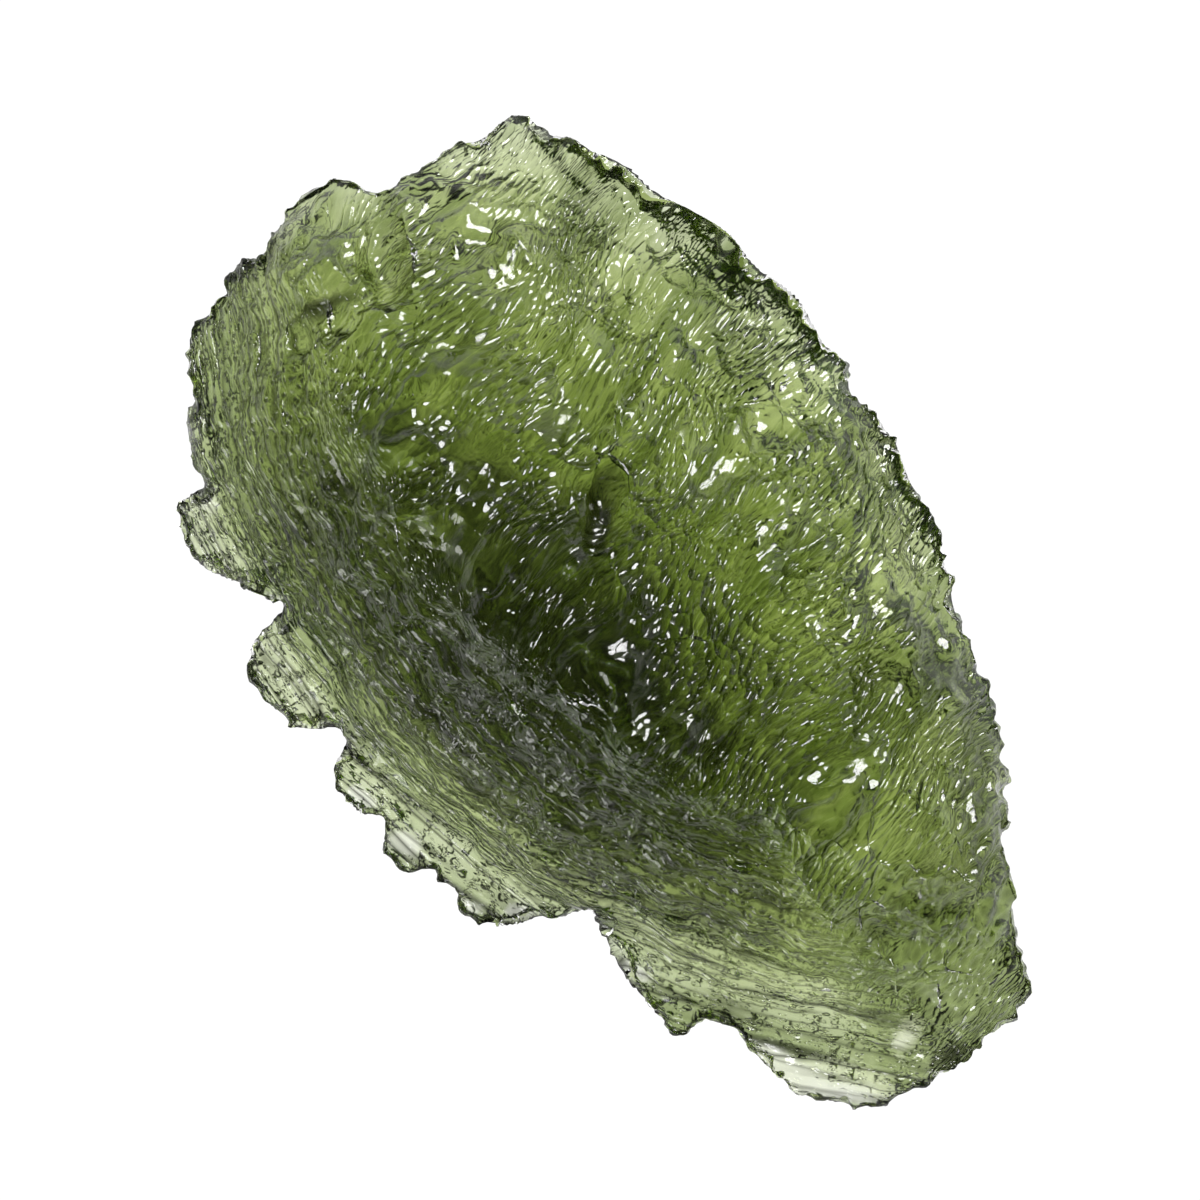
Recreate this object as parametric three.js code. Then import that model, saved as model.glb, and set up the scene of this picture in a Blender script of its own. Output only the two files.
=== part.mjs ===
// Moldavite: one loose piece of natural green glass, a flattened splash form with an etched face.
// It lies on a small flat spot of its back. One side flares out into a thin scalloped rim, below a steep
// flank that crosses the glass's flow layers; the other side falls gently to a blunt, finely toothed edge.
// Millimetres, +Z up, +Y along the stone's length. The origin is under the middle of its box.
import * as THREE from 'three';

// Driving dimensions, in millimetres
const LENGTH = 34.0; // the stone's extent along Y
const CREST_HEIGHT = 9.6; // of the thick ridge above the surface that the stone lies on
const FACE_FALL = 0.027; // drop of the face per square millimetre of distance from the ridge
const END_FALL = 3.0; // drop of the ridge from its middle to either end
const FOLD_SPACING = 1.7; // between the flow folds on the flank
const FOLD_HEIGHT = 0.26; // of the folds near the tip, where they stand out most
const HOLLOW_MARGIN = 0.9; // no hollow cuts through the edge within this distance of it
const UNDERCUT = 0.3; // the lower edge stands back from the upper one by this
const RIM_BULGE = 0.12; // the middle of the rim stands out by this

// Shares that shape the surface
const REST_SHARE = 0.4; // the flat spot reaches this far from the centre to the edge
const BACK_POWER = 1.6; // the higher, the longer the back stays low before it curves up to the edge
const RIM_WANDER = 0.1; // each of two waves lifts and sinks the edge by this share of its height
const LOBE_THINNING = 0.7; // how fast a lobe thins towards its tip, per millimetre
const FLANK_CUPS = 0.4; // cups at the foot of the flank have this share of their depth
const WEAK_FOLDS = 0.3; // folds on the upper left have this share of their height

// The edge as seen from above, counter-clockwise, in outline units: x to the right, y down.
// Each stretch also gives the stone's section there: the heights under and over the edge, and the width of
// the round bevel behind it, in millimetres.
const STRETCHES = [
  {
    name: 'crown', under: 2.2, over: 3.5, bevel: 3.4,
    points: [[526, 112], [500, 121], [480, 138], [455, 143], [420, 170], [400, 176], [378, 192]],
  },
  {
    name: 'knob', under: 1.9, over: 3.6, bevel: 3.2,
    points: [[362, 187], [345, 174], [315, 186], [272, 218], [263, 232], [260, 254]],
  },
  {
    name: 'shoulder', under: 1.4, over: 2.6, bevel: 3.4,
    points: [[228, 265], [207, 300], [190, 322], [177, 355], [190, 387]],
  },
  {
    name: 'upper scallops', under: 1.0, over: 1.8, bevel: 1.6,
    points: [
      [173, 415], [184, 455], [184, 472], [204, 484], [175, 500], [173, 522], [192, 566], [218, 585],
      [240, 584], [276, 606], [257, 632], [242, 662], [251, 692], [284, 727], [299, 734], [320, 728],
    ],
  },
  {
    name: 'lower scallops', under: 0.9, over: 1.5, bevel: 1.4,
    points: [
      [338, 744], [332, 762], [329, 785], [352, 814], [383, 820], [380, 847], [398, 871], [416, 875],
      [432, 868], [436, 884], [449, 887], [463, 916], [493, 933], [535, 921], [576, 920], [594, 921],
      [600, 946], [611, 950], [620, 976], [643, 996], [648, 1016], [682, 1038], [700, 1019],
    ],
  },
  {
    name: 'lip', under: 0.9, over: 1.7, bevel: 1.6,
    points: [[731, 1028], [757, 1058], [786, 1089], [835, 1108], [862, 1113], [905, 1096]],
  },
  {
    name: 'tip', under: 1.3, over: 3.0, bevel: 2.4,
    points: [[945, 1077], [979, 1052], [996, 1031], [1022, 1019], [1032, 988], [1022, 965]],
  },
  {
    name: 'blunt edge', under: 2.5, over: 4.4, bevel: 2.8,
    points: [
      [1024, 950], [1014, 905], [1018, 893], [1005, 860], [1010, 830], [1006, 800], [1011, 783], [1001, 757],
      [1000, 725], [990, 686], [976, 655], [957, 602], [947, 557], [928, 512], [910, 482],
    ],
  },
  {
    name: 'toothed edge', under: 2.6, over: 4.3, bevel: 2.6,
    points: [
      [899, 450], [882, 417], [863, 398], [848, 362], [828, 343], [813, 325], [795, 300], [763, 273],
      [745, 256], [728, 234], [690, 212], [652, 193], [620, 162], [590, 150], [560, 134], [545, 130],
    ],
  },
];

// Places in outline units
const CENTRE = [575, 625]; // the rings of the surface grow out from here, above the flat spot
const FLOW_CENTRE = [1000, 170]; // the flow layers bend round this point
const RIDGE_RADIUS = 662; // from the flow centre to the thick ridge
const FOOT_RADIUS = 900; // from the flow centre to the foot of the flank, where the thin rim begins
const RIDGE_MIDDLE = 131; // bearing of the ridge's middle from the flow centre, in degrees
const RIDGE_HALF_ANGLE = 40; // from the ridge's middle to either end, in degrees

// Hollows (+ depth) and swellings (- depth) of the face. The half length, half width and depth are in
// millimetres, and turn is the long side's angle above the X axis in degrees.
const FACE_FORMS = [
  { name: 'knob', at: [305, 258], long: 2.1, wide: 1.7, turn: 30, depth: -0.9 },
  { name: 'groove beside the knob', at: [386, 262], long: 2.9, wide: 0.75, turn: 96, depth: 1.0 },
  { name: 'crease under the knob', at: [318, 326], long: 2.2, wide: 0.55, turn: 30, depth: 0.8 },
  { name: 'pressed spot', at: [512, 222], long: 1.9, wide: 0.9, turn: -4, depth: 0.5 },
  { name: 'oval cup', at: [772, 434], long: 1.5, wide: 0.95, turn: -14, depth: 0.5 },
  { name: 'ringed cup', at: [668, 236], long: 1.6, wide: 0.85, turn: -38, depth: 0.5 },
  { name: 'upright slot', at: [598, 345], long: 1.7, wide: 0.6, turn: 84, depth: 0.5 },
  { name: 'dark cut', at: [606, 502], long: 1.7, wide: 0.6, turn: 72, depth: 0.7 },
  { name: 'rippled cup', at: [884, 672], long: 1.1, wide: 0.9, turn: 90, depth: 0.45 },
  { name: 'long furrow', at: [700, 770], long: 2.7, wide: 0.7, turn: 54, depth: 0.5 },
  { name: 'short furrow', at: [862, 640], long: 1.9, wide: 0.7, turn: 54, depth: 0.4 },
  { name: 'pit on the ridge', at: [752, 836], long: 1.2, wide: 0.8, turn: 35, depth: 0.55 },
  { name: 'pit by the tip', at: [872, 930], long: 1.5, wide: 0.9, turn: 25, depth: 0.7 },
  { name: 'chipped corner', at: [955, 1045], long: 1.6, wide: 1.0, turn: 35, depth: 1.0 },
  { name: 'fold above the lip', at: [785, 1046], long: 3.4, wide: 0.6, turn: -17, depth: 0.45 },
  { name: 'dent above the flank', at: [428, 545], long: 2.3, wide: 1.1, turn: 35, depth: 0.5 },
];

// Scattered etch cups on both sides, in millimetres
const CUP_COUNT = 330;
const CUP_RADIUS = [0.8, 1.7];
const CUP_DEPTH = 0.32; // of a cup, per millimetre of its radius
const CUP_SEED = 11;

// Grid of the surface
const FACE_RINGS = 26;
const BACK_RINGS = 12;
const RIM_COUNT = 216; // vertices round the rim
const RING_EASE = 1.12; // above 1, the rings crowd towards the edge
const LOBE_POWER = 6; // the higher, the nearer to the edge the rings take up its lobes
const EDGE_SAMPLES = 2400;
const EDGE_ANGLE = 1; // the edge along a bearing averages this many degrees to either side
const SMOOTH_ANGLE = 17; // and so does the smooth edge, which has no lobes

const OUTLINE = STRETCHES.flatMap((stretch) => stretch.points);
const HEIGHTS = OUTLINE.map(([, y]) => y);
const TOP = Math.min(...HEIGHTS);
const BOTTOM = Math.max(...HEIGHTS);
const UNIT = LENGTH / (BOTTOM - TOP); // millimetres per outline unit

// A place in outline units as a point on the XY plane, in millimetres from the centre of the rings.
function place([x, y]) {
  return new THREE.Vector2((x - CENTRE[0]) * UNIT, (CENTRE[1] - y) * UNIT);
}

const flowCentre = place(FLOW_CENTRE);
const edgeCurve = new THREE.CatmullRomCurve3(
  OUTLINE.map(place).map(({ x, y }) => new THREE.Vector3(x, y, 0)),
  true,
  'centripetal',
);

function mix(a, b, share) {
  return a + (b - a) * share;
}

// A small generator of repeatable numbers from 0 to 1.
function repeatable(seed) {
  let state = seed >>> 0;
  return () => {
    state = (Math.imul(state, 1664525) + 1013904223) >>> 0;
    return state / 4294967296;
  };
}

// Bearing of a point from the centre, in degrees from 0 to 360.
function bearingOf({ x, y }) {
  return THREE.MathUtils.euclideanModulo(THREE.MathUtils.radToDeg(Math.atan2(y, x)), 360);
}

// Counter-clockwise angle from one bearing to another, in degrees from 0 to 360.
function angleFrom(start, bearing) {
  return THREE.MathUtils.euclideanModulo(bearing - start, 360);
}

// Each stretch counts in full at the bearing of its middle point, and blends into the next one after it.
const stretchBearings = STRETCHES.map(({ points }) => bearingOf(place(points[points.length >> 1])));

const edgeSamples = edgeCurve.getSpacedPoints(EDGE_SAMPLES).map((point) => {
  return { bearing: bearingOf(point), reach: point.length() };
});

// Distance from the centre to the edge, averaged over the bearings within some degrees.
function averageReach(bearing, span) {
  let sum = 0;
  let total = 0;
  for (const sample of edgeSamples) {
    const apart = Math.abs(angleFrom(bearing + 180, sample.bearing) - 180) / span;
    const weight = apart < 1 ? (1 - apart ** 2) ** 2 : 0;
    sum += weight * sample.reach;
    total += weight;
  }
  return sum / total;
}

const smoothReaches = Array.from({ length: 361 }, (_, degree) => averageReach(degree, SMOOTH_ANGLE));

// The stone's section along a bearing from the centre.
function sectionAt(bearing) {
  const gaps = stretchBearings.map((start) => angleFrom(start, bearing));
  const last = gaps.indexOf(Math.min(...gaps));
  const next = (last + 1) % STRETCHES.length;
  const along = gaps[last] / angleFrom(stretchBearings[last], stretchBearings[next]);
  const share = THREE.MathUtils.smoothstep(along, 0, 1);
  const blend = (key) => mix(STRETCHES[last][key], STRETCHES[next][key], share);
  const turn = THREE.MathUtils.degToRad(bearing);
  const wander = RIM_WANDER * blend('under') * (Math.sin(7 * turn) + Math.sin(12 * turn + 2));
  return {
    under: blend('under') + wander,
    over: blend('over') + wander,
    bevel: blend('bevel'),
    reach: mix(smoothReaches[Math.floor(bearing)], smoothReaches[Math.floor(bearing) + 1], bearing % 1),
  };
}

// How far p lies inside an oval: 1 at its middle, 0 on its edge and beyond.
function ovalShare(p, at, long, wide, turn) {
  const offset = p.clone().sub(at).rotateAround(new THREE.Vector2(), -THREE.MathUtils.degToRad(turn));
  return Math.max(0, 1 - (offset.x / long) ** 2 - (offset.y / wide) ** 2);
}

// Scatters round etch cups over a square that holds the outline.
function scatterCups(seed) {
  const next = repeatable(seed);
  return Array.from({ length: CUP_COUNT }, () => {
    const at = new THREE.Vector2(mix(-0.6, 0.6, next()) * LENGTH, mix(-0.6, 0.6, next()) * LENGTH);
    return { at, radius: mix(...CUP_RADIUS, next()) };
  });
}

// Cups that overlap meet in sharp ridges, because only the deepest counts.
function cupDepth(p, cups) {
  return cups.reduce((depth, { at, radius }) => {
    return Math.max(depth, CUP_DEPTH * radius * ovalShare(p, at, radius, radius, 0));
  }, 0);
}

const faceCups = scatterCups(CUP_SEED);
const backCups = scatterCups(CUP_SEED + 1);

// The face's height before the slopes to the edge take it down: a ridge bent round the flow centre.
function ridgeHeight(p) {
  const fromFlow = p.clone().sub(flowCentre);
  const across = fromFlow.length() - RIDGE_RADIUS * UNIT;
  const bearing = THREE.MathUtils.radToDeg(Math.atan2(-fromFlow.y, fromFlow.x));
  const turned = THREE.MathUtils.euclideanModulo(bearing - RIDGE_MIDDLE + 180, 360) - 180;
  return CREST_HEIGHT - FACE_FALL * across ** 2 - END_FALL * (turned / RIDGE_HALF_ANGLE) ** 2;
}

function faceRelief(p) {
  const forms = FACE_FORMS.reduce((depth, form) => {
    return depth + form.depth * ovalShare(p, place(form.at), form.long, form.wide, form.turn) ** 2;
  }, 0);
  return -forms - cupDepth(p, faceCups);
}

// Folds where the flow layers come out on the flank. They follow the flow round its centre, from weak ones
// on the left to strong ones near the tip, and sway a little on the way.
function foldHeight(p) {
  const fromFlow = p.clone().sub(flowCentre);
  const angle = fromFlow.angle();
  const strength = mix(WEAK_FOLDS, 1, THREE.MathUtils.smoothstep(angle, 1.05 * Math.PI, 1.35 * Math.PI));
  const sway = 0.9 * Math.sin(5 * angle) + 0.7 * Math.sin(13 * angle);
  return FOLD_HEIGHT * strength * Math.cos((2 * Math.PI * fromFlow.length()) / FOLD_SPACING + sway);
}

// How far p has climbed the flank: 0 at its foot and outside it, 1 on the ridge and inside it.
function flankClimb(p) {
  const radius = p.distanceTo(flowCentre) / UNIT;
  return THREE.MathUtils.clamp((FOOT_RADIUS - radius) / (FOOT_RADIUS - RIDGE_RADIUS), 0, 1);
}

// Height of the face over p. A lobe that stands out past the smooth edge thins towards its tip.
function faceHeight(p, section) {
  const inset = section.reach - p.length();
  const bevel = 1 - (1 - THREE.MathUtils.clamp(inset / section.bevel, 0, 1)) ** 2;
  const climb = flankClimb(p);
  const skirt = THREE.MathUtils.smoothstep(climb, 0, 1);
  const thinned = mix(section.under, section.over, 1 / (1 + LOBE_THINNING * Math.max(0, -inset)));
  const smooth = mix(thinned, Math.max(ridgeHeight(p), section.over), skirt * bevel);
  const folds = foldHeight(p) * 4 * climb * (1 - climb) * bevel;
  const clear = THREE.MathUtils.clamp(inset / HOLLOW_MARGIN, 0, 1);
  return smooth + folds + faceRelief(p) * clear * mix(FLANK_CUPS, 1, climb);
}

// Height of the back: flat where the stone rests, then curving up to the edge.
function backHeight(p, section) {
  const share = Math.min(1, p.length() / section.reach);
  const beyond = Math.max(0, (share - REST_SHARE) / (1 - REST_SHARE));
  const hollow = cupDepth(p, backCups) * 4 * beyond * (1 - beyond);
  return section.under * beyond ** BACK_POWER + hollow;
}

// One closed surface: rings of vertices on the face and on the back, joined by a round rim.
class StoneSurface {
  constructor() {
    this.positions = [];
    this.triangles = [];
    const face = this.addRings(FACE_RINGS, 0, faceHeight);
    const back = this.addRings(BACK_RINGS, UNDERCUT, backHeight);
    const rim = this.addRing(1, RIM_COUNT, UNDERCUT / 2 - RIM_BULGE, (p, section) => {
      return (faceHeight(p, section) + backHeight(p, section)) / 2;
    });
    face.forEach((ring, index) => index > 0 && this.zip(face[index - 1], ring));
    back.forEach((ring, index) => index > 0 && this.zip(ring, back[index - 1]));
    this.zip(face[FACE_RINGS], rim);
    this.zip(rim, back[BACK_RINGS]);
  }

  addRings(rings, standBack, heightAt) {
    return Array.from({ length: rings + 1 }, (_, ring) => {
      const share = 1 - (1 - ring / rings) ** RING_EASE;
      const count = Math.max(1, Math.round((RIM_COUNT * ring) / rings));
      return this.addRing(share, count, standBack, heightAt);
    });
  }

  // A ring of vertices at a share of the way to the edge. Returns their indices.
  addRing(share, count, standBack, heightAt) {
    return Array.from({ length: count }, (_, step) => {
      const bearing = (360 * step) / count;
      const section = sectionAt(bearing);
      const edge = averageReach(bearing, EDGE_ANGLE) - standBack;
      const radius = share * mix(section.reach - standBack, edge, share ** LOBE_POWER);
      const turn = THREE.MathUtils.degToRad(bearing);
      const p = new THREE.Vector2(Math.cos(turn), Math.sin(turn)).multiplyScalar(radius);
      return this.positions.push(p.x, p.y, heightAt(p, section)) / 3 - 1;
    });
  }

  // Joins two rings that may have different counts, always stepping along the one that lags behind.
  zip(inner, outer) {
    let i = 0;
    let j = 0;
    while (i < inner.length || j < outer.length) {
      const a = inner[i % inner.length];
      const b = outer[j % outer.length];
      const outerLags = (j + 1) * inner.length <= (i + 1) * outer.length;
      if (i >= inner.length || (j < outer.length && outerLags)) {
        j += 1;
        this.addTriangle(a, b, outer[j % outer.length]);
      } else {
        i += 1;
        this.addTriangle(a, b, inner[i % inner.length]);
      }
    }
  }

  addTriangle(a, b, c) {
    if (a !== b && b !== c && c !== a) this.triangles.push(a, b, c);
  }

  // The geometry, moved so that the stone stands on z = 0 with its box centred over the origin.
  geometry() {
    const geometry = new THREE.BufferGeometry();
    geometry.setAttribute('position', new THREE.Float32BufferAttribute(this.positions, 3));
    geometry.setIndex(this.triangles);
    geometry.computeBoundingBox();
    const { min, max } = geometry.boundingBox;
    geometry.translate(-(min.x + max.x) / 2, -(min.y + max.y) / 2, -min.z);
    geometry.computeVertexNormals();
    return geometry;
  }
}

const greenGlass = new THREE.MeshStandardMaterial({
  name: 'green glass',
  color: 0x5f7a32,
  roughness: 0.18,
  metalness: 0,
});

const stone = new THREE.Mesh(new StoneSurface().geometry(), greenGlass);
stone.name = 'moldavite';

const moldavite = new THREE.Group();
moldavite.add(stone);

export default moldavite;
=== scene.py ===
import math

import bpy
import numpy as np
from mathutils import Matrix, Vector, bvhtree, kdtree, noise


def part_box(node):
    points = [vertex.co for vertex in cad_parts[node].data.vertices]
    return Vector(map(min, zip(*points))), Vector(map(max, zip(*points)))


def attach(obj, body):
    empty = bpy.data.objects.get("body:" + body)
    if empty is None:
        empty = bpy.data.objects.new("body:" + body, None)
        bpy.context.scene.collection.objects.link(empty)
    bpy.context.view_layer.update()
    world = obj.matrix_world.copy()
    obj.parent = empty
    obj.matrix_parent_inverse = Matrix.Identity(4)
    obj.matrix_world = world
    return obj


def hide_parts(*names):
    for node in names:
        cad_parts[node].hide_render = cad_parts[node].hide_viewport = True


# A moldavite: one piece of etched green glass, lying on a pale ground and seen from straight above

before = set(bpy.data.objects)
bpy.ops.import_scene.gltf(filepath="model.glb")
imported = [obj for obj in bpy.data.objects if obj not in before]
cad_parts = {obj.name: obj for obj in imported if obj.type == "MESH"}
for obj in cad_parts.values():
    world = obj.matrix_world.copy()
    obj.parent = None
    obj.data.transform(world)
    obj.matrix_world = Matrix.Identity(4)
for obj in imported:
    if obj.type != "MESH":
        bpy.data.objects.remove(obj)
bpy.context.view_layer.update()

NODE = "moldavite"
MM = 0.001
SEED = 7

# The photograph's frame, in its pixels, and the stone's box in it
FRAME_SIDE = 1200
STONE_LEFT = 173
STONE_RIGHT = 1032
STONE_TOP = 112
STONE_BOTTOM = 1113

# The flow layers bend round a point, and the flank lies between two distances from it, in pixels
FLOW_CENTRE = (1000, 170)
RIDGE_RADIUS = 662
FOOT_RADIUS = 900

# Stretches of the climb from foot to ridge over which a change sets in: start and length. The last is where
# the pinholes' painted shade begins
FACE_FLOW_START = (0.55, 0.4)
FACE_START = (0.7, 0.25)
FOLD_START = (0, 0.15)
PINHOLE_SHADE_START = (0.1, 0.25)

# How much of the pinholes' painted shade is left on the rim's lobes
LEAST_PINHOLE_SHADE = 0.15

# The line, in pixels, right of which the etched face reaches down to the stone's tip
TIP_LINE = ((797, 890), (917, 1040))
TIP_BLEND = 60

# Directions of the etch grooves on the face: pixel and angle above the photograph's horizontal, in degrees
FACE_FLOW = [
    ((600, 330), 80), ((760, 360), 60), ((880, 400), 40), ((450, 500), 30), ((650, 620), 45),
    ((700, 760), 58), ((850, 640), 50), ((930, 880), 35), ((480, 200), 15), ((300, 260), 60),
]

# How softly one of these directions gives way to the next, in pixels
FACE_FLOW_BLEND = 40

# Smooth spots that the etching spared: pixel, half length and half width in pixels, turn in degrees
SMOOTH_SPOTS = [
    ((772, 434), 40, 24, -14), ((505, 222), 45, 18, -4), ((598, 360), 14, 34, 0), ((550, 430), 26, 16, 30),
    ((575, 143), 22, 10, -30),
]

# Clear spots on the thin rim, in the same terms
CLEAR_SPOTS = [
    ((361, 798), 15, 9, -40), ((404, 845), 17, 11, -30), ((466, 908), 16, 8, -10), ((520, 912), 14, 7, 0),
    ((635, 972), 16, 7, -30), ((775, 1060), 26, 12, -35), ((855, 1095), 28, 9, -5),
    ((907, 1035), 18, 10, 50), ((268, 603), 9, 8, 0), ((205, 500), 14, 8, -60), ((195, 430), 12, 8, 70),
    ((805, 1082), 40, 14, -27), ((1000, 778), 10, 13, 0), ((890, 437), 7, 20, -10),
]

# Places where the green is palest, and places painted with the most shade, as dark specks and deeper green,
# in the same terms
PALE_SPOTS = [((860, 600), 90, 45, 50), ((500, 172), 60, 26, 10), ((845, 1080), 50, 20, -12)]
SHADED_SPECK_SPOTS = [((935, 975), 110, 80, -50), ((992, 830), 160, 30, -84)]

# A spot's squared distance from its middle over which it fades, 1 on its edge: start and length
SPOT_FADE = (0.6, 1)

# Sharp hollows, cut into the relief and painted with shade: pixel, half length and half width in pixels,
# turn in degrees, depth in millimetres
HOLLOWS = [
    ((948, 1058), 24, 15, 40, 0.5), ((905, 1040), 24, 14, -20, 0.3), ((750, 830), 16, 12, 20, 0.4),
    ((866, 930), 26, 15, -30, 0.4), ((603, 505), 38, 9, 76, 0.45), ((865, 720), 22, 6, 60, 0.4),
    ((870, 675), 26, 18, 50, 0.35), ((635, 395), 14, 10, 60, 0.4), ((490, 925), 12, 9, 0, 0.45),
    ((318, 312), 55, 9, 24, 0.45), ((383, 255), 60, 9, 96, 0.3), ((730, 745), 62, 7, 60, 0.4),
    ((668, 238), 24, 15, 40, 0.35), ((772, 434), 34, 20, -14, 0.3), ((785, 1048), 95, 6, -15, 0.45),
    ((545, 655), 30, 8, 40, 0.35), ((430, 470), 40, 8, 35, 0.4), ((560, 212), 24, 6, -20, 0.3),
]

# A hollow's steepness, and the depth in millimetres over which shade is painted into hollows: start and
# length
BOWL_POWER = 0.7
HOLLOW_SHADING = (0.3, 0.15)

# Spacing of the surface's vertices, and the distance within which corners are one, in millimetres
RIM_SPACING = 0.16
FACE_SPACING = 0.21
BACK_SPACING = 0.5
MERGE_DISTANCE = 0.001
REFINE_PASSES = 4

# The upward part of the normal above which the face is spaced, and below which the back is
FACE_UP = 0.45
BACK_UP = -0.35

# Thickness is measured from just under the surface, and is this where no far side is found, in millimetres
THICKNESS_START = 0.01
UNKNOWN_THICKNESS = 1.0

# Smoothing shares: drawing in and pushing back evens the facets without shrinking the stone
EVENING_STEPS = [0.5, -0.52] * 3

# Smoothing shares for the thickness, so that the relief has no sudden steps, and for the relief itself
THICKNESS_STEPS = [0.7] * 10
RELIEF_STEPS = [0.35]

# Upward part of the normal over which the rim ends, and over which the upper side begins: start and length
RIM_SLOPE = (1 / 6, 2 / 3)
UPWARD_SLOPE = (0.05, 0.25)

# How much of the etching the smooth and clear spots are spared, and how much the rim is
SPOTS_SPARED = 0.65
RIM_SPARED = 0.6

# Folds round the flank: spacing in millimetres, waves to a radian round it, depth in millimetres
FLANK_FOLDS = [(0.95, 5, 0.62), (0.45, 10, 0.36)]

# Fine teeth round the rim, in millimetres, and their pattern of noise
TOOTH_SPACING = 0.6
TOOTH_DEPTH = 0.35
TOOTH_PATTERN = 0

# Turn of the face's grooves above the horizontal, in degrees
FACE_GROOVE_TURN = 50

# How far the grooves sway, over what length, in millimetres, and the patterns of noise that they sway by
FACE_SWAY = 0.9
FACE_SWAY_LENGTH = 5
FACE_SWAY_PATTERNS = (0, 9)
FLANK_SWAY = 0.8
FLANK_SWAY_LENGTH = 6
FLANK_SWAY_PATTERN = 4

# Pits, one to a cell: the cell's three sides in millimetres, the pit's reach in it, and the pit's depth
FACE_PITS = [((0.95, 2.0, 1.5), 0.85, 0.36), ((0.5, 1.05, 0.8), 0.85, 0.2)]
PINHOLES = ((0.62, 0.8, 1), 0.5, 0.3)

# Patches of deeper pits and of stronger glints: size in millimetres, contrast, least, most, pattern of noise
PIT_PATCHES = (3.2, 1.2, 0.35, 1.6, 3)
GLINT_PATCHES = (2.4, 3.2, 0.2, 2.2, 6)

# Etch cups: how many, half width in millimetres from and to, length to width, depth to half width
CUPS = [
    (330, (0.6, 1.1), 1.7, 0.45),
    (1500, (0.25, 0.4), 2.0, 0.6),
]

# How much the cups differ: shares of their stretch and of their depth, and turn from the flow in radians
CUP_STRETCH_SPREAD = (0.3, 1.4)
CUP_DEPTH_SPREAD = (0.5, 1.1)
CUP_TURN_SPREAD = 0.35

# Notches: how many, half width in millimetres, half height and depth to half width, how sideways the rim is
NOTCHES = 240
NOTCH_HALF_WIDTH = (0.16, 0.42)
NOTCH_HEIGHT = 3
NOTCH_DEPTH_SPREAD = (0.5, 1.2)
NOTCHED_RIM = 0.6

# The relief's deepest cut as a share of the thickness, and how far its ridges stand out, in millimetres
DEEPEST_SHARE = 0.22
RELIEF_LIFT = 0.12

# Bands of green: their width, length and height in millimetres, their contrast and their middle paleness
FACE_BAND = (0.8, 7, 3)
FLANK_BAND = (2.4, 27, 1)
BAND_CONTRAST = 1.8
FACE_PALENESS = 0.5
FLANK_PALENESS = 0.4

# Painted shade: specks on the face, those added on the shaded spots, and how much deeper the green is
# painted there
BASE_SPECK_SHADE = 0.22
ADDED_SPECK_SHADE = 0.4
SHADED_SPOT_GREEN = 0.9

# Fine pits of the material, across and along, in millimetres
FACE_PIT = (0.24, 0.55, 1)
FLANK_PIT = (0.3, 0.42, 1)

# Fine folds of the material: folds to a flank pit, across and along, and their height in the bump
BROAD_FOLD = (0.245, 0.0235, 0)
BROAD_FOLD_HEIGHT = 5.0
FINE_FOLD = (0.68, 0.059, 0)
FINE_FOLD_HEIGHT = 2.2

# The bump: its unit in millimetres, a pinhole's squared reach and height, and what the rim loses of it
BUMP_UNIT = 0.17
PINHOLE_REACH = 0.12
PINHOLE_HEIGHT = 0.7
RIM_BUMP_LOSS = 0.75

# Painted shade in the fold creases, the pinholes and the face's pit middles: the relief at which it ends,
# and how dark it is
BROAD_LINE_END = 0.05
BROAD_CREASE_SHADE = 1.0
FINE_LINE_END = 0.09
FINE_CREASE_SHADE = 0.8
PINHOLE_EDGE = (0.02, 0.09)
PINHOLE_SHADE_DEPTH = 0.9
SPECK_SHADE_END = 0.4

# The glass
GLASS_IOR = 1.49
DEEP_TINT = (0.34, 0.41, 0.2, 1)
PALE_TINT = (0.78, 0.84, 0.62, 1)
CLEAR_TINT = (0.95, 0.97, 0.9, 1)
# The tint that paints shade into creases, pinholes, pit middles and hollows
CREVICE_SHADE_TINT = (0.01, 0.012, 0.006, 1)
ABSORPTION_COLOUR = (0.48, 0.58, 0.0, 1)
ABSORPTION_DENSITY = 310

# Roughness of the glass, of the ridges between pinholes and of the rim, and its patches to a metre
GLASS_ROUGHNESS = (0.08, 0.2)
RIDGE_ROUGHNESS = 0.22
RIDGE_EDGE = (0.1, 0.3)
RIM_ROUGHNESS = 0.12
ROUGHNESS_PATCHES = 600

# The middle part of a noise texture's range, which holds most of its values
NOISE_RANGE = (0.3, 0.7)

# The ground: half its side in metres, its gap under the stone in millimetres, and its brightness
GROUND_HALF_SIDE = 3.0
GROUND_GAP = 0.02
GROUND_GLOW = 1.06

# The oval of shade under the stone: middle, half length and half width in pixels, turn in degrees
SHADE_CENTRE = (550, 665)
SHADE_REACH = (450, 205)
SHADE_TURN = -43

# Depth of the shade and of its mottling, where in the oval each fades, and mottles to the oval's half length
SHADE_ON_RIDGE = 0.8
SHADE_FADE = (0.2, 0.85)
MOTTLE_DEPTH = 0.8
MOTTLE_FADE = (0.6, 0.85)
MOTTLE_SCALE = 10

# Lamps: position and width in metres, power in watts
LAMPS = {
    "key": ((0.16, 0.17, 0.2), 0.16, 1.4),
    "fill": ((-0.22, -0.2, 0.08), 0.16, 0.4),
}
LAMP_TARGET = (0, 0, 0.004)

# The sky: height and colour where it is palest and where it is darkest
PALE_SKY = (0.1, (1, 1, 1, 1))
DARK_SKY = (0.6, (0.06, 0.06, 0.065, 1))
SKY_STRENGTH = 0.7

# The camera: distance in metres above the rim, the rim's height and the sensor's width in millimetres
CAMERA_DISTANCE = 0.42
RIM_HEIGHT = 2.5
SENSOR_WIDTH = 36

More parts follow.
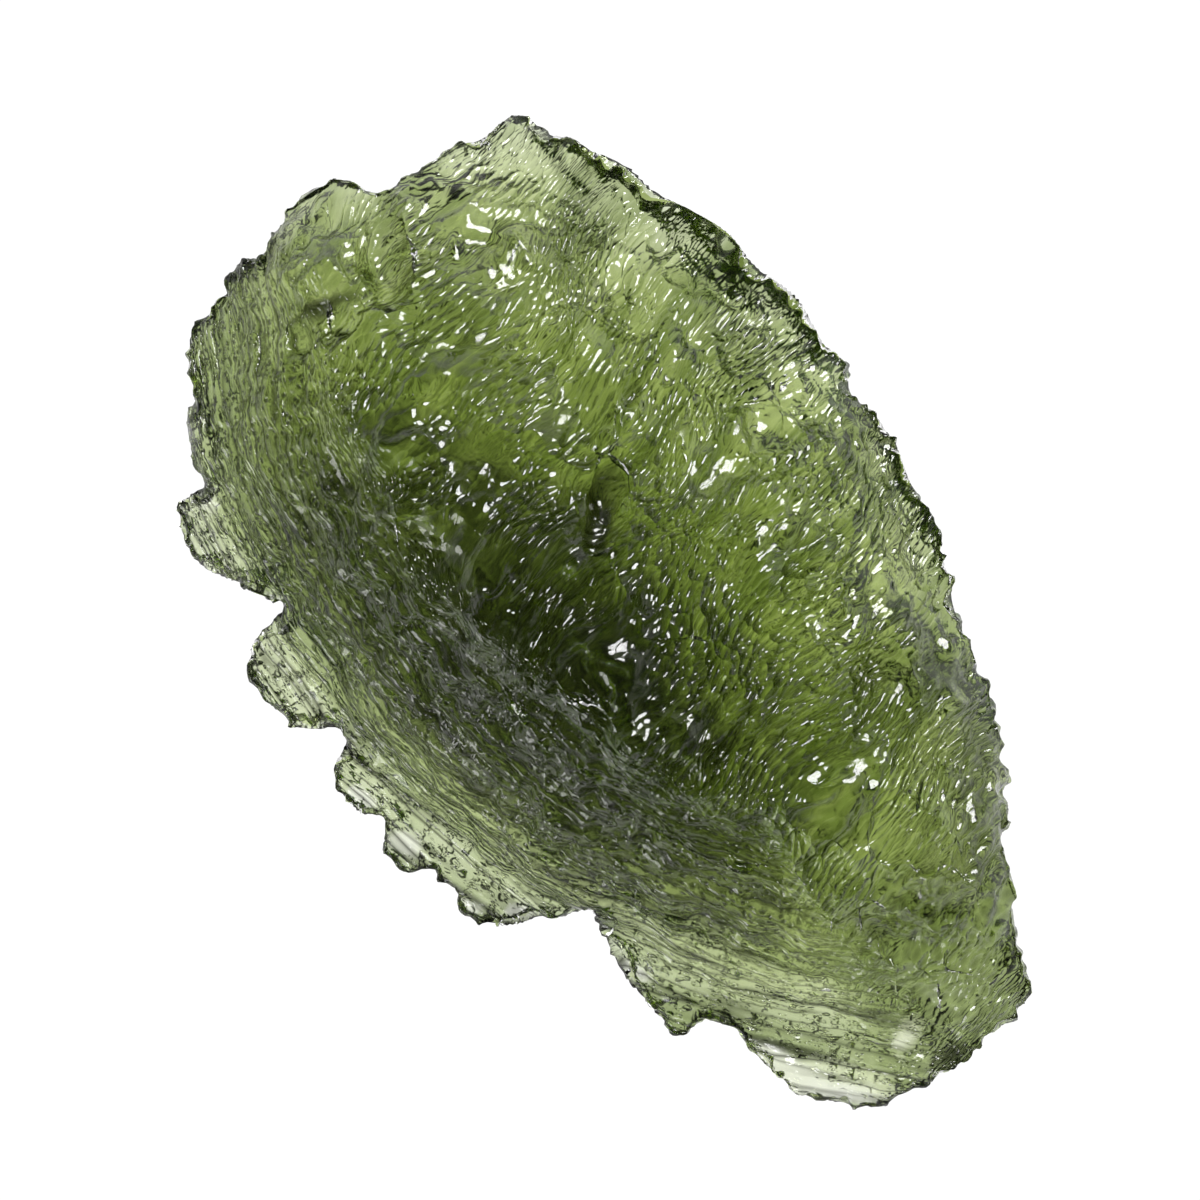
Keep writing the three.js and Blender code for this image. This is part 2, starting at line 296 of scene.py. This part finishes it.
# How often light is followed through the glass, and how often from gloss to gloss
BOUNCES = 8
GLOSSY_BOUNCES = 4

# The node's corners and the size of a pixel, in metres
LOW, HIGH = (np.array(corner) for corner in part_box(NODE))
PIXEL = (HIGH[1] - LOW[1]) / (STONE_BOTTOM - STONE_TOP)


# Surface of the stone

def place(pixel):
    """A photograph pixel as X and Y in metres."""
    x = (LOW[0] + HIGH[0]) / 2 + (pixel[0] - (STONE_LEFT + STONE_RIGHT) / 2) * PIXEL
    y = (LOW[1] + HIGH[1]) / 2 - (pixel[1] - (STONE_TOP + STONE_BOTTOM) / 2) * PIXEL
    return np.array((x, y))


def ramp(values, start, length):
    """0 up to the start, then evenly up to 1 over the length."""
    return np.clip((values - start) / length, 0, 1)


def node_surface():
    """Points and triangles of the stone's solid, with the corners that its facets share merged."""
    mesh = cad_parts[NODE].data
    mesh.calc_loop_triangles()
    corners = np.empty(len(mesh.vertices) * 3)
    mesh.vertices.foreach_get("co", corners)
    corners = corners.reshape(-1, 3)
    triangles = np.empty(len(mesh.loop_triangles) * 3, dtype=np.int32)
    mesh.loop_triangles.foreach_get("vertices", triangles)
    keys = np.round(corners / (MERGE_DISTANCE * MM)).astype(np.int64)
    _, first, merged = np.unique(keys, axis=0, return_index=True, return_inverse=True)
    return corners[first], merged.reshape(-1)[triangles].reshape(-1, 3)


def vertex_normals(points, triangles):
    """Unit normals at the points, weighted by the areas of the triangles round them."""
    a, b, c = (points[triangles[:, k]] for k in range(3))
    facing = np.cross(b - a, c - a)
    normals = np.zeros_like(points)
    for k in range(3):
        for axis in range(3):
            normals[:, axis] += np.bincount(triangles[:, k], facing[:, axis], len(points))
    return normals / np.maximum(np.linalg.norm(normals, axis=1, keepdims=True), 1e-20)


def edges_of(triangles):
    """The edges, and for each triangle the indices of its three edges."""
    pairs = np.stack([triangles, np.roll(triangles, -1, axis=1)], axis=2)
    pairs = np.sort(pairs.reshape(-1, 2), axis=1)
    edges, index = np.unique(pairs, axis=0, return_inverse=True)
    return edges, index.reshape(-1, 3)


def longest_edge(up):
    """The longest edge allowed where the normal has the given upward part, in metres."""
    below_face = np.where(up > BACK_UP, RIM_SPACING, BACK_SPACING)
    return np.where(up > FACE_UP, FACE_SPACING, below_face) * MM


def split_long_edges(points, triangles):
    """Halves each edge that is too long, and cuts the triangles to match."""
    normals = vertex_normals(points, triangles)
    edges, of_triangle = edges_of(triangles)
    ends = points[edges]
    length = np.linalg.norm(ends[:, 0] - ends[:, 1], axis=1)
    cut = length > longest_edge(normals[edges][:, :, 2].mean(axis=1))
    middle = np.full(len(edges), -1)
    middle[cut] = len(points) + np.arange(cut.sum())
    points = np.concatenate([points, ends[cut].mean(axis=1)])
    pieces = []
    cuts = cut[of_triangle]
    for turn in range(3):
        corner = np.roll(triangles, -turn, axis=1)
        mid = middle[np.roll(of_triangle, -turn, axis=1)]
        is_cut = np.roll(cuts, -turn, axis=1)
        one = is_cut[:, 0] & ~is_cut[:, 1] & ~is_cut[:, 2]
        two = is_cut[:, 0] & is_cut[:, 1] & ~is_cut[:, 2]
        (a, b, c), (m, _, _) = corner[one].T, mid[one].T
        pieces += [np.stack(t, 1) for t in ((a, m, c), (m, b, c))]
        (a, b, c), (m, n, _) = corner[two].T, mid[two].T
        pieces += [np.stack(t, 1) for t in ((m, b, n), (a, m, n), (a, n, c))]
    whole = ~cuts.any(axis=1)
    pieces.append(triangles[whole])
    full = cuts.all(axis=1)
    (a, b, c), (m, n, o) = triangles[full].T, middle[of_triangle[full]].T
    pieces += [np.stack(t, 1) for t in ((a, m, o), (m, b, n), (o, n, c), (m, n, o))]
    return points, np.concatenate(pieces)


def smooth(values, edges, steps):
    """Draws each vertex's values towards its neighbours', by the given share at each step."""
    count = len(values)
    ends = np.concatenate([edges[:, 0], edges[:, 1]])
    others = np.concatenate([edges[:, 1], edges[:, 0]])
    valence = np.bincount(ends, minlength=count)
    for step in steps:
        near = np.stack([np.bincount(ends, column[others], count) for column in values.T])
        values = values + step * ((near / valence).T - values)
    return values


def refined_surface():
    """Points, triangles and edges of the solid's surface, cut fine and evened."""
    points, triangles = node_surface()
    for _ in range(REFINE_PASSES):
        points, triangles = split_long_edges(points, triangles)
    edges, _ = edges_of(triangles)
    return smooth(points, edges, EVENING_STEPS), triangles, edges


def wall_thickness(points, normals, triangles):
    """How thick the stone is under each point, in metres."""
    tree = bvhtree.BVHTree.FromPolygons(points.tolist(), triangles.tolist())
    starts = points - normals * THICKNESS_START * MM
    rays = zip(starts.tolist(), (-normals).tolist())
    through = [tree.ray_cast(start, ray)[3] for start, ray in rays]
    return np.array([UNKNOWN_THICKNESS * MM if length is None else length for length in through])


# Places on the stone

def flow_field(points):
    """How far each point has climbed the flank, and the flow's direction there on the XY plane."""
    from_flow = points[:, :2] - place(FLOW_CENTRE)
    radius = np.linalg.norm(from_flow, axis=1)
    climb = np.clip((FOOT_RADIUS * PIXEL - radius) / ((FOOT_RADIUS - RIDGE_RADIUS) * PIXEL), 0, 1)
    around = np.arctan2(from_flow[:, 0], -from_flow[:, 1])

    # Directions are averaged at twice their angle, because a groove has no forward end
    double = np.zeros((len(points), 2))
    for pixel, degrees in FACE_FLOW:
        gap = np.linalg.norm(points[:, :2] - place(pixel), axis=1) / PIXEL
        angle = 2 * math.radians(degrees)
        double += np.outer(1 / (gap + FACE_FLOW_BLEND) ** 3, (math.cos(angle), math.sin(angle)))
    double /= np.linalg.norm(double, axis=1, keepdims=True)
    on_face = ramp(climb, *FACE_FLOW_START)[:, None]
    double = double * on_face + np.stack([np.cos(2 * around), np.sin(2 * around)], 1) * (1 - on_face)
    turn = np.arctan2(double[:, 1], double[:, 0]) / 2
    return climb, np.stack([np.cos(turn), np.sin(turn), np.zeros(len(points))], 1)


def face_share(points, climb):
    """1 on the etched face and at the tip, 0 on the flank."""
    start, end = (place(pixel) for pixel in TIP_LINE)
    line = end - start
    offset = points[:, :2] - start
    aside = (line[0] * offset[:, 1] - line[1] * offset[:, 0]) / np.linalg.norm(line)
    at_tip = np.clip(aside / (TIP_BLEND * PIXEL) + 0.5, 0, 1)
    return np.maximum(ramp(climb, *FACE_START), at_tip)


def oval_reach(points, pixel, long, wide, degrees):
    """Squared distance from an oval's middle, 1 on its edge. Half length and half width are in pixels."""
    offset = (points[:, :2] - place(pixel)) / PIXEL
    c, s = math.cos(math.radians(degrees)), math.sin(math.radians(degrees))
    return ((offset @ (c, s)) / long) ** 2 + ((offset @ (-s, c)) / wide) ** 2


def spot_share(points, spots):
    """1 on the spots and 0 away from them."""
    share = np.zeros(len(points))
    for spot in spots:
        share = np.maximum(share, 1 - ramp(oval_reach(points, *spot), *SPOT_FADE))
    return share


def noise_at(coordinates):
    return np.array([noise.noise(c) for c in coordinates.tolist()])


def stone_noise(points, size, pattern):
    """Noise over the stone, of the given size in millimetres. Each pattern is a different part of it."""
    return noise_at(points / (size * MM) + pattern)


def patches(points, size, contrast, least, most, pattern):
    """Patches of more and less than 1, between the least and the most."""
    return np.clip(1 + contrast * stone_noise(points, size, pattern), least, most)


def polar_place(points):
    """Distance from the flow's centre in millimetres, and the turn about it in radians."""
    from_flow = points[:, :2] - place(FLOW_CENTRE)
    radius = np.linalg.norm(from_flow, axis=1) / MM
    return radius, np.arctan2(from_flow[:, 1], from_flow[:, 0])


def groove_coordinates(points):
    """Millimetres across and along the grooves, on the face and then on the flank."""
    x, y, z = points.T / MM
    x_sway, y_sway = (stone_noise(points, FACE_SWAY_LENGTH, pattern) for pattern in FACE_SWAY_PATTERNS)
    x = x + FACE_SWAY * x_sway
    y = y + FACE_SWAY * y_sway
    turn = math.radians(FACE_GROOVE_TURN)
    along = x * math.cos(turn) + y * math.sin(turn)
    across = y * math.cos(turn) - x * math.sin(turn)
    radius, around = polar_place(points)
    arc = around * (RIDGE_RADIUS + FOOT_RADIUS) / 2 * PIXEL / MM
    down = radius - z + FLANK_SWAY * stone_noise(points, FLANK_SWAY_LENGTH, FLANK_SWAY_PATTERN)
    return np.stack([across, along, z], 1), np.stack([down, arc, np.zeros(len(points))], 1)


# Relief of the stone

def fold_depth(points, climb, on_face):
    """Depth of the fine folds that run round the flank, in millimetres."""
    radius, turn = polar_place(points)
    down = radius - points[:, 2] / MM
    depth = np.zeros(len(points))
    for layer, (spacing, waves, deepest) in enumerate(FLANK_FOLDS):
        coordinates = np.stack([down / spacing, turn * waves, np.full(len(points), layer)], 1)
        depth += np.abs(noise_at(coordinates)) * deepest
    return depth * (1 - on_face) * ramp(climb, *FOLD_START)


def tooth_depth(points):
    """Depth of the fine teeth round the rim, in millimetres."""
    return np.abs(stone_noise(points, TOOTH_SPACING, TOOTH_PATTERN)) * TOOTH_DEPTH


def cell_pits(coordinates, size, reach, depth):
    """Depth of round-bottomed pits, one to each cell of the given size, in millimetres."""
    nearest = [noise.voronoi(cell)[0][0] for cell in (coordinates / size).tolist()]
    return depth * np.clip(1 - (np.array(nearest) / reach) ** 2, 0, 1)


def pit_depth(points, on_face, face, flank):
    """Depth of the pits in millimetres: long cups with sharp ridges on the face, pinholes on the flank."""
    long_cups = sum(cell_pits(face, *pits) for pits in FACE_PITS)
    pinholes = cell_pits(flank, *PINHOLES)
    return (long_cups * on_face + pinholes * (1 - on_face)) * patches(points, *PIT_PATCHES)


def etch(points, normals, flow, centres, wide, long, depth):
    """Depth of oval cups. Where cups overlap only the deepest counts, which leaves ridges between them."""
    tree = kdtree.KDTree(len(points))
    for index, point in enumerate(points.tolist()):
        tree.insert(point, index)
    tree.balance()
    cut = np.zeros(len(points))
    for centre, half_width, half_length, deep in zip(centres.tolist(), wide, long, depth):
        found = [index for _, index, _ in tree.find_range(points[centre], half_length)]
        offset = points[found] - points[centre]
        normal = normals[centre]
        along = flow[centre] - normal * (flow[centre] @ normal)
        along /= np.linalg.norm(along)
        across = np.cross(normal, along)
        reach = ((offset @ along) / half_length) ** 2 + ((offset @ across) / half_width) ** 2
        cut[found] = np.maximum(cut[found], deep * (1 - reach))
    return cut


def cup_depth(points, normals, flow, etched, rng):
    """Depth of the etch cups, stretched roughly along the flow, in metres."""
    turn = rng.normal(0, CUP_TURN_SPREAD, len(points))
    c, s = np.cos(turn), np.sin(turn)
    x, y, z = flow.T
    flow = np.stack([x * c - y * s, x * s + y * c, z], 1)
    total = np.zeros(len(points))
    for count, width, stretch, sharpness in CUPS:
        centres = rng.choice(len(points), count)
        wide = rng.uniform(*width, count)
        long = wide * (1 + (stretch - 1) * rng.uniform(*CUP_STRETCH_SPREAD, count))
        depth = wide * sharpness * rng.uniform(*CUP_DEPTH_SPREAD, count) * etched[centres]
        total += etch(points, normals, flow, centres, wide * MM, long * MM, depth * MM)
    return total


def notch_depth(points, normals, sideways, rng):
    """Depth of the upright notches, spread evenly round the rim, in metres."""
    rim = np.flatnonzero(sideways > NOTCHED_RIM)
    bearing = np.arctan2(points[rim, 1], points[rim, 0]) / math.pi + 1
    sector = np.floor(bearing * NOTCHES / 2).astype(int)
    weight = 1 / np.bincount(sector)[sector]
    centres = rng.choice(rim, NOTCHES, p=weight / weight.sum())
    wide = rng.uniform(*NOTCH_HALF_WIDTH, NOTCHES)
    depth = wide * rng.uniform(*NOTCH_DEPTH_SPREAD, NOTCHES)
    upright = np.tile((0, 0, 1.0), (len(points), 1))
    return etch(points, normals, upright, centres, wide * MM, wide * NOTCH_HEIGHT * MM, depth * MM)


def hollow_depth(points, normals):
    """Depth of the sharp hollows in metres, and the shade painted at each point that lies in one."""
    total = np.zeros(len(points))
    dark = np.zeros(len(points))
    for pixel, long, wide, degrees, depth in HOLLOWS:
        inside = np.clip(1 - oval_reach(points, pixel, long, wide, degrees), 0, 1)
        bowl = inside ** BOWL_POWER * (normals[:, 2] > 0)
        total += bowl * depth * MM
        dark = np.maximum(dark, np.sqrt(bowl) * ramp(depth, *HOLLOW_SHADING))
    return total, dark


def paleness(on_face, face, flank):
    """Bands of paler green along the flow: 0 in the deepest green and 1 in the palest."""
    face_bands = noise_at(face / FACE_BAND)
    flank_bands = noise_at(flank / FLANK_BAND)
    middle = FACE_PALENESS * on_face + FLANK_PALENESS * (1 - on_face)
    return np.clip(middle + BAND_CONTRAST * (face_bands * on_face + flank_bands * (1 - on_face)), 0, 1)


def make_surface():
    """Points and triangles of the etched stone, and what its material needs to know at each point."""
    points, triangles, edges = refined_surface()
    normals = vertex_normals(points, triangles)
    climb, flow = flow_field(points)
    on_face = face_share(points, climb)
    clear = spot_share(points, CLEAR_SPOTS)
    etched = 1 - SPOTS_SPARED * np.maximum(clear, spot_share(points, SMOOTH_SPOTS))
    sideways = 1 - ramp(np.abs(normals[:, 2]), *RIM_SLOPE)
    etched_here = etched * (1 - RIM_SPARED * sideways)
    face, flank = groove_coordinates(points)

    rng = np.random.default_rng(SEED)
    pits = pit_depth(points, on_face, face, flank) * etched_here
    total = (fold_depth(points, climb, on_face) + tooth_depth(points) * sideways + pits) * MM
    total += cup_depth(points, normals, flow, etched_here, rng)
    total += notch_depth(points, normals, sideways, rng)
    # The hollows' depth, and the shade painted in them
    hollows, dark = hollow_depth(points, normals)
    total = smooth((total + hollows)[:, None], edges, RELIEF_STEPS)[:, 0]

    thickness = wall_thickness(points, normals, triangles)
    deepest = DEEPEST_SHARE * smooth(thickness[:, None], edges, THICKNESS_STEPS)[:, 0]
    relief = deepest * (1 - np.exp(-total / deepest)) - np.minimum(RELIEF_LIFT * MM, deepest / 2)
    points = points - normals * relief[:, None]
    points[:, 2] = np.maximum(points[:, 2], LOW[2])

    # Spots where shade is painted as dark specks and a deeper green
    speck_shading = spot_share(points, SHADED_SPECK_SPOTS)
    pale = np.maximum(paleness(on_face, face, flank), spot_share(points, PALE_SPOTS))
    shares = {
        "on_face": on_face,
        "etched": etched,
        "clear": clear,
        "sideways": sideways,
        "upward": ramp(normals[:, 2], *UPWARD_SLOPE),
        # The painted shade of hollows, pinholes and specks, and a green deepened as shade on the shaded
        # spots
        "hollow_shade": dark,
        "pinhole_shade_share": np.maximum(ramp(climb, *PINHOLE_SHADE_START), LEAST_PINHOLE_SHADE),
        "speck_shading": BASE_SPECK_SHADE + ADDED_SPECK_SHADE * speck_shading,
        "paleness": pale * (1 - SHADED_SPOT_GREEN * speck_shading),
        "clusters": patches(points, *GLINT_PATCHES),
    }
    fine_pits = {"face_pits": face / FACE_PIT, "flank_pits": flank / FLANK_PIT}
    return points, triangles, shares, fine_pits


def build_stone():
    points, triangles, shares, fine_pits = make_surface()
    mesh = bpy.data.meshes.new("moldavite_glass")
    mesh.from_pydata(points.tolist(), [], triangles.tolist())
    mesh.shade_smooth()
    for name, values in shares.items():
        attribute = mesh.attributes.new(name, "FLOAT", "POINT")
        attribute.data.foreach_set("value", values.astype(np.float32))
    for name, values in fine_pits.items():
        attribute = mesh.attributes.new(name, "FLOAT_VECTOR", "POINT")
        attribute.data.foreach_set("vector", values.astype(np.float32).ravel())
    stone = bpy.data.objects.new("moldavite_glass", mesh)
    bpy.context.scene.collection.objects.link(stone)
    return stone


# Materials

class Tree:
    """Adds shader nodes and joins them in one step."""

    def __init__(self, material):
        material.use_nodes = True
        self.nodes = material.node_tree.nodes
        self.links = material.node_tree.links

    def feed(self, socket, value):
        """Links a socket to another one, or sets its value."""
        if isinstance(value, bpy.types.NodeSocket):
            self.links.new(value, socket)
        else:
            socket.default_value = value

    def math(self, operation, *values):
        node = self.nodes.new("ShaderNodeMath")
        node.operation = operation
        for socket, value in zip(node.inputs, values):
            self.feed(socket, value)
        return node.outputs[0]

    def attribute(self, name, output="Fac"):
        node = self.nodes.new("ShaderNodeAttribute")
        node.attribute_name = name
        return node.outputs[output]

    def span(self, value, before, after):
        """Maps a value from one range to another, and keeps it inside the second."""
        node = self.nodes.new("ShaderNodeMapRange")
        for socket, setting in zip(node.inputs, (value, *before, *after)):
            self.feed(socket, setting)
        return node.outputs["Result"]

    def blend(self, share, first, second):
        node = self.nodes.new("ShaderNodeMix")
        for name, setting in (("Factor", share), ("A", first), ("B", second)):
            self.feed(node.inputs[name], setting)
        return node.outputs["Result"]

    def blend_colour(self, share, first, second):
        node = self.nodes.new("ShaderNodeMix")
        node.data_type = "RGBA"
        colours = [socket for socket in node.inputs if socket.type == "RGBA"]
        for socket, setting in zip((node.inputs[0], *colours), (share, first, second)):
            self.feed(socket, setting)
        return next(socket for socket in node.outputs if socket.type == "RGBA")

    def noise(self, coordinates, scale, detail):
        node = self.nodes.new("ShaderNodeTexNoise")
        node.inputs["Scale"].default_value = scale
        node.inputs["Detail"].default_value = detail
        self.links.new(coordinates, node.inputs["Vector"])
        return node.outputs["Fac"]

    def creases(self, name, stretch):
        """Height of a folded surface over the named coordinates, 0 in its sharp creases."""
        stretched = self.nodes.new("ShaderNodeVectorMath")
        stretched.operation = "MULTIPLY"
        stretched.inputs[1].default_value = stretch
        self.links.new(self.attribute(name, "Vector"), stretched.inputs[0])
        waves = self.noise(stretched.outputs["Vector"], 1, 0)
        return self.math("ABSOLUTE", self.math("SUBTRACT", waves, 0.5))

    def cups(self, name):
        """Height of round-bottomed cups, one to each unit of the named coordinates."""
        cells = self.nodes.new("ShaderNodeTexVoronoi")
        cells.voronoi_dimensions = "2D"
        cells.feature = "F1"
        cells.inputs["Scale"].default_value = 1
        self.links.new(self.attribute(name, "Vector"), cells.inputs["Vector"])
        return self.math("MULTIPLY", cells.outputs["Distance"], cells.outputs["Distance"])


def green_glass():
    material = bpy.data.materials.new("green_glass")
    tree = Tree(material)
    shader = tree.nodes["Principled BSDF"]
    shader.inputs["Transmission Weight"].default_value = 1.0
    shader.inputs["IOR"].default_value = GLASS_IOR

    # Fine relief: long cups on the face, folds and pinholes on the flank
    on_face = tree.attribute("on_face")
    sideways = tree.attribute("sideways")
    broad_folds = tree.creases("flank_pits", BROAD_FOLD)
    fine_folds = tree.creases("flank_pits", FINE_FOLD)
    holes = tree.cups("flank_pits")
    cups = tree.cups("face_pits")
    fine_height = tree.math("MULTIPLY", fine_folds, FINE_FOLD_HEIGHT)
    folds = tree.math("MULTIPLY_ADD", broad_folds, BROAD_FOLD_HEIGHT, fine_height)
    flank = tree.math("ADD", tree.span(holes, (0, PINHOLE_REACH), (0, PINHOLE_HEIGHT)), folds)
    face = tree.math("MULTIPLY", cups, tree.attribute("clusters"))
    bump = tree.nodes.new("ShaderNodeBump")
    bump.inputs["Distance"].default_value = BUMP_UNIT * MM
    tree.links.new(tree.blend(on_face, flank, face), bump.inputs["Height"])
    off_rim = tree.math("MULTIPLY_ADD", sideways, -RIM_BUMP_LOSS, 1.0)
    tree.links.new(tree.math("MULTIPLY", tree.attribute("etched"), off_rim), bump.inputs["Strength"])
    tree.links.new(bump.outputs["Normal"], shader.inputs["Normal"])

    # Bands of deeper and paler green; painted shade in the flank's fold creases and pinholes, in the face's
    # pit middles and in the hollows
    bands = tree.blend_colour(tree.attribute("paleness"), DEEP_TINT, PALE_TINT)
    glass = tree.blend_colour(tree.attribute("clear"), bands, CLEAR_TINT)
    broad_crease_shade = tree.span(broad_folds, (0, BROAD_LINE_END), (BROAD_CREASE_SHADE, 0))
    fine_crease_shade = tree.span(fine_folds, (0, FINE_LINE_END), (FINE_CREASE_SHADE, 0))
    crease_shade = tree.math("MAXIMUM", broad_crease_shade, fine_crease_shade)
    # Painted shade in the flank's pinholes
    pinhole_shade = tree.span(holes, PINHOLE_EDGE, (PINHOLE_SHADE_DEPTH, 0))
    pinholes = tree.math("MULTIPLY", pinhole_shade, tree.attribute("pinhole_shade_share"))
    # Painted shade in the middles of the face's pits
    speck_shade = tree.math("MULTIPLY", tree.span(cups, (0, SPECK_SHADE_END), (1, 0)), tree.attribute("speck_shading"))
    fine = tree.blend(on_face, tree.math("MAXIMUM", crease_shade, pinholes), speck_shade)
    upward_fine_shade = tree.math("MULTIPLY", fine, tree.attribute("upward"))
    # All this painted shade darkens the glass's tint
    painted_shade = tree.math("MAXIMUM", upward_fine_shade, tree.attribute("hollow_shade"))
    tree.links.new(tree.blend_colour(painted_shade, glass, CREVICE_SHADE_TINT), shader.inputs["Base Color"])

    # Frosted ridges between the flank's pinholes, patches of clearer and duller glass, and a clear rim
    ridges = tree.blend(on_face, tree.span(holes, RIDGE_EDGE, (0, 1)), 0.0)
    everywhere = tree.nodes.new("ShaderNodeTexCoord").outputs["Object"]
    dullness = tree.span(tree.noise(everywhere, ROUGHNESS_PATCHES, 1), NOISE_RANGE, GLASS_ROUGHNESS)
    frosted = tree.blend(ridges, dullness, RIDGE_ROUGHNESS)
    tree.links.new(tree.blend(sideways, frosted, RIM_ROUGHNESS), shader.inputs["Roughness"])

    absorb = tree.nodes.new("ShaderNodeVolumeAbsorption")
    absorb.inputs["Color"].default_value = ABSORPTION_COLOUR
    absorb.inputs["Density"].default_value = ABSORPTION_DENSITY
    tree.links.new(absorb.outputs["Volume"], tree.nodes["Material Output"].inputs["Volume"])
    return material


def shade_oval(tree, coordinates):
    """Coordinates turned along the oval of shade and 1 long on its edge, and their length."""
    within = tree.nodes.new("ShaderNodeMapping")
    within.vector_type = "TEXTURE"
    within.inputs["Location"].default_value = (*place(SHADE_CENTRE), 0)
    within.inputs["Rotation"].default_value = (0, 0, math.radians(SHADE_TURN))
    within.inputs["Scale"].default_value = (SHADE_REACH[0] * PIXEL, SHADE_REACH[1] * PIXEL, 1)
    tree.links.new(coordinates, within.inputs["Vector"])
    length = tree.nodes.new("ShaderNodeVectorMath")
    length.operation = "LENGTH"
    tree.links.new(within.outputs["Vector"], length.inputs[0])
    return within.outputs["Vector"], length.outputs["Value"]


def pale_ground():
    """An evenly glowing pale ground, with mottled shade under the stone that is deepest along its ridge."""
    material = bpy.data.materials.new("pale_ground")
    tree = Tree(material)
    material.cycles.emission_sampling = "NONE"
    on_ground = tree.nodes.new("ShaderNodeTexCoord").outputs["Object"]
    within, from_ridge = shade_oval(tree, on_ground)
    ridge_lit = tree.span(from_ridge, SHADE_FADE, (1 - SHADE_ON_RIDGE, 1))
    spots = tree.span(tree.noise(within, MOTTLE_SCALE, 1), NOISE_RANGE, (MOTTLE_DEPTH, 0))
    mottle = tree.math("MULTIPLY", spots, tree.span(from_ridge, MOTTLE_FADE, (1, 0)))
    lit = tree.math("MULTIPLY", ridge_lit, tree.math("SUBTRACT", 1.0, mottle))
    glow = tree.nodes.new("ShaderNodeEmission")
    tree.links.new(tree.math("MULTIPLY", lit, GROUND_GLOW), glow.inputs["Strength"])
    tree.links.new(glow.outputs["Emission"], tree.nodes["Material Output"].inputs["Surface"])
    tree.nodes.remove(tree.nodes["Principled BSDF"])
    return material


# Ground, light and camera

def add_ground():
    side = GROUND_HALF_SIDE
    corners = [(-side, -side, 0), (side, -side, 0), (side, side, 0), (-side, side, 0)]
    mesh = bpy.data.meshes.new("ground")
    mesh.from_pydata(corners, [], [(0, 1, 2, 3)])
    ground = bpy.data.objects.new("ground", mesh)
    ground.location.z = -GROUND_GAP * MM
    ground.data.materials.append(pale_ground())
    bpy.context.scene.collection.objects.link(ground)


def add_lamp(name, position, width, power):
    lamp = bpy.data.lights.new(name, "AREA")
    lamp.shape = "DISK"
    lamp.size = width
    lamp.energy = power
    light = bpy.data.objects.new(name, lamp)
    light.location = position
    aim = Vector(LAMP_TARGET) - Vector(position)
    light.rotation_euler = aim.to_track_quat("-Z", "Y").to_euler()
    bpy.context.scene.collection.objects.link(light)


def add_world():
    world = bpy.data.worlds.new("studio")
    bpy.context.scene.world = world
    world.use_nodes = True
    nodes, links = world.node_tree.nodes, world.node_tree.links
    direction = nodes.new("ShaderNodeTexCoord")
    split = nodes.new("ShaderNodeSeparateXYZ")
    sky = nodes.new("ShaderNodeValToRGB")
    for element, (height, colour) in zip(sky.color_ramp.elements, (PALE_SKY, DARK_SKY)):
        element.position = height
        element.color = colour
    nodes["Background"].inputs["Strength"].default_value = SKY_STRENGTH
    links.new(direction.outputs["Generated"], split.inputs["Vector"])
    links.new(split.outputs["Z"], sky.inputs["Fac"])
    links.new(sky.outputs["Color"], nodes["Background"].inputs["Color"])


def add_camera():
    """A camera straight above that frames the stone as the photograph does."""
    lens = bpy.data.cameras.new("camera")
    lens.sensor_width = SENSOR_WIDTH
    lens.lens = SENSOR_WIDTH * CAMERA_DISTANCE / (FRAME_SIDE * PIXEL)
    camera = bpy.data.objects.new("camera", lens)
    x, y = place((FRAME_SIDE / 2, FRAME_SIDE / 2))
    camera.location = (x, y, CAMERA_DISTANCE + RIM_HEIGHT * MM)
    bpy.context.scene.collection.objects.link(camera)
    bpy.context.scene.camera = camera


def set_look():
    scene = bpy.context.scene
    scene.view_settings.view_transform = "Standard"
    scene.cycles.max_bounces = BOUNCES
    scene.cycles.transmission_bounces = BOUNCES
    scene.cycles.glossy_bounces = GLOSSY_BOUNCES


stone = build_stone()
stone.data.materials.append(green_glass())
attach(stone, "root")
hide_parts(NODE)

add_ground()
for name, lamp in LAMPS.items():
    add_lamp(name, *lamp)
add_world()
add_camera()
set_look()
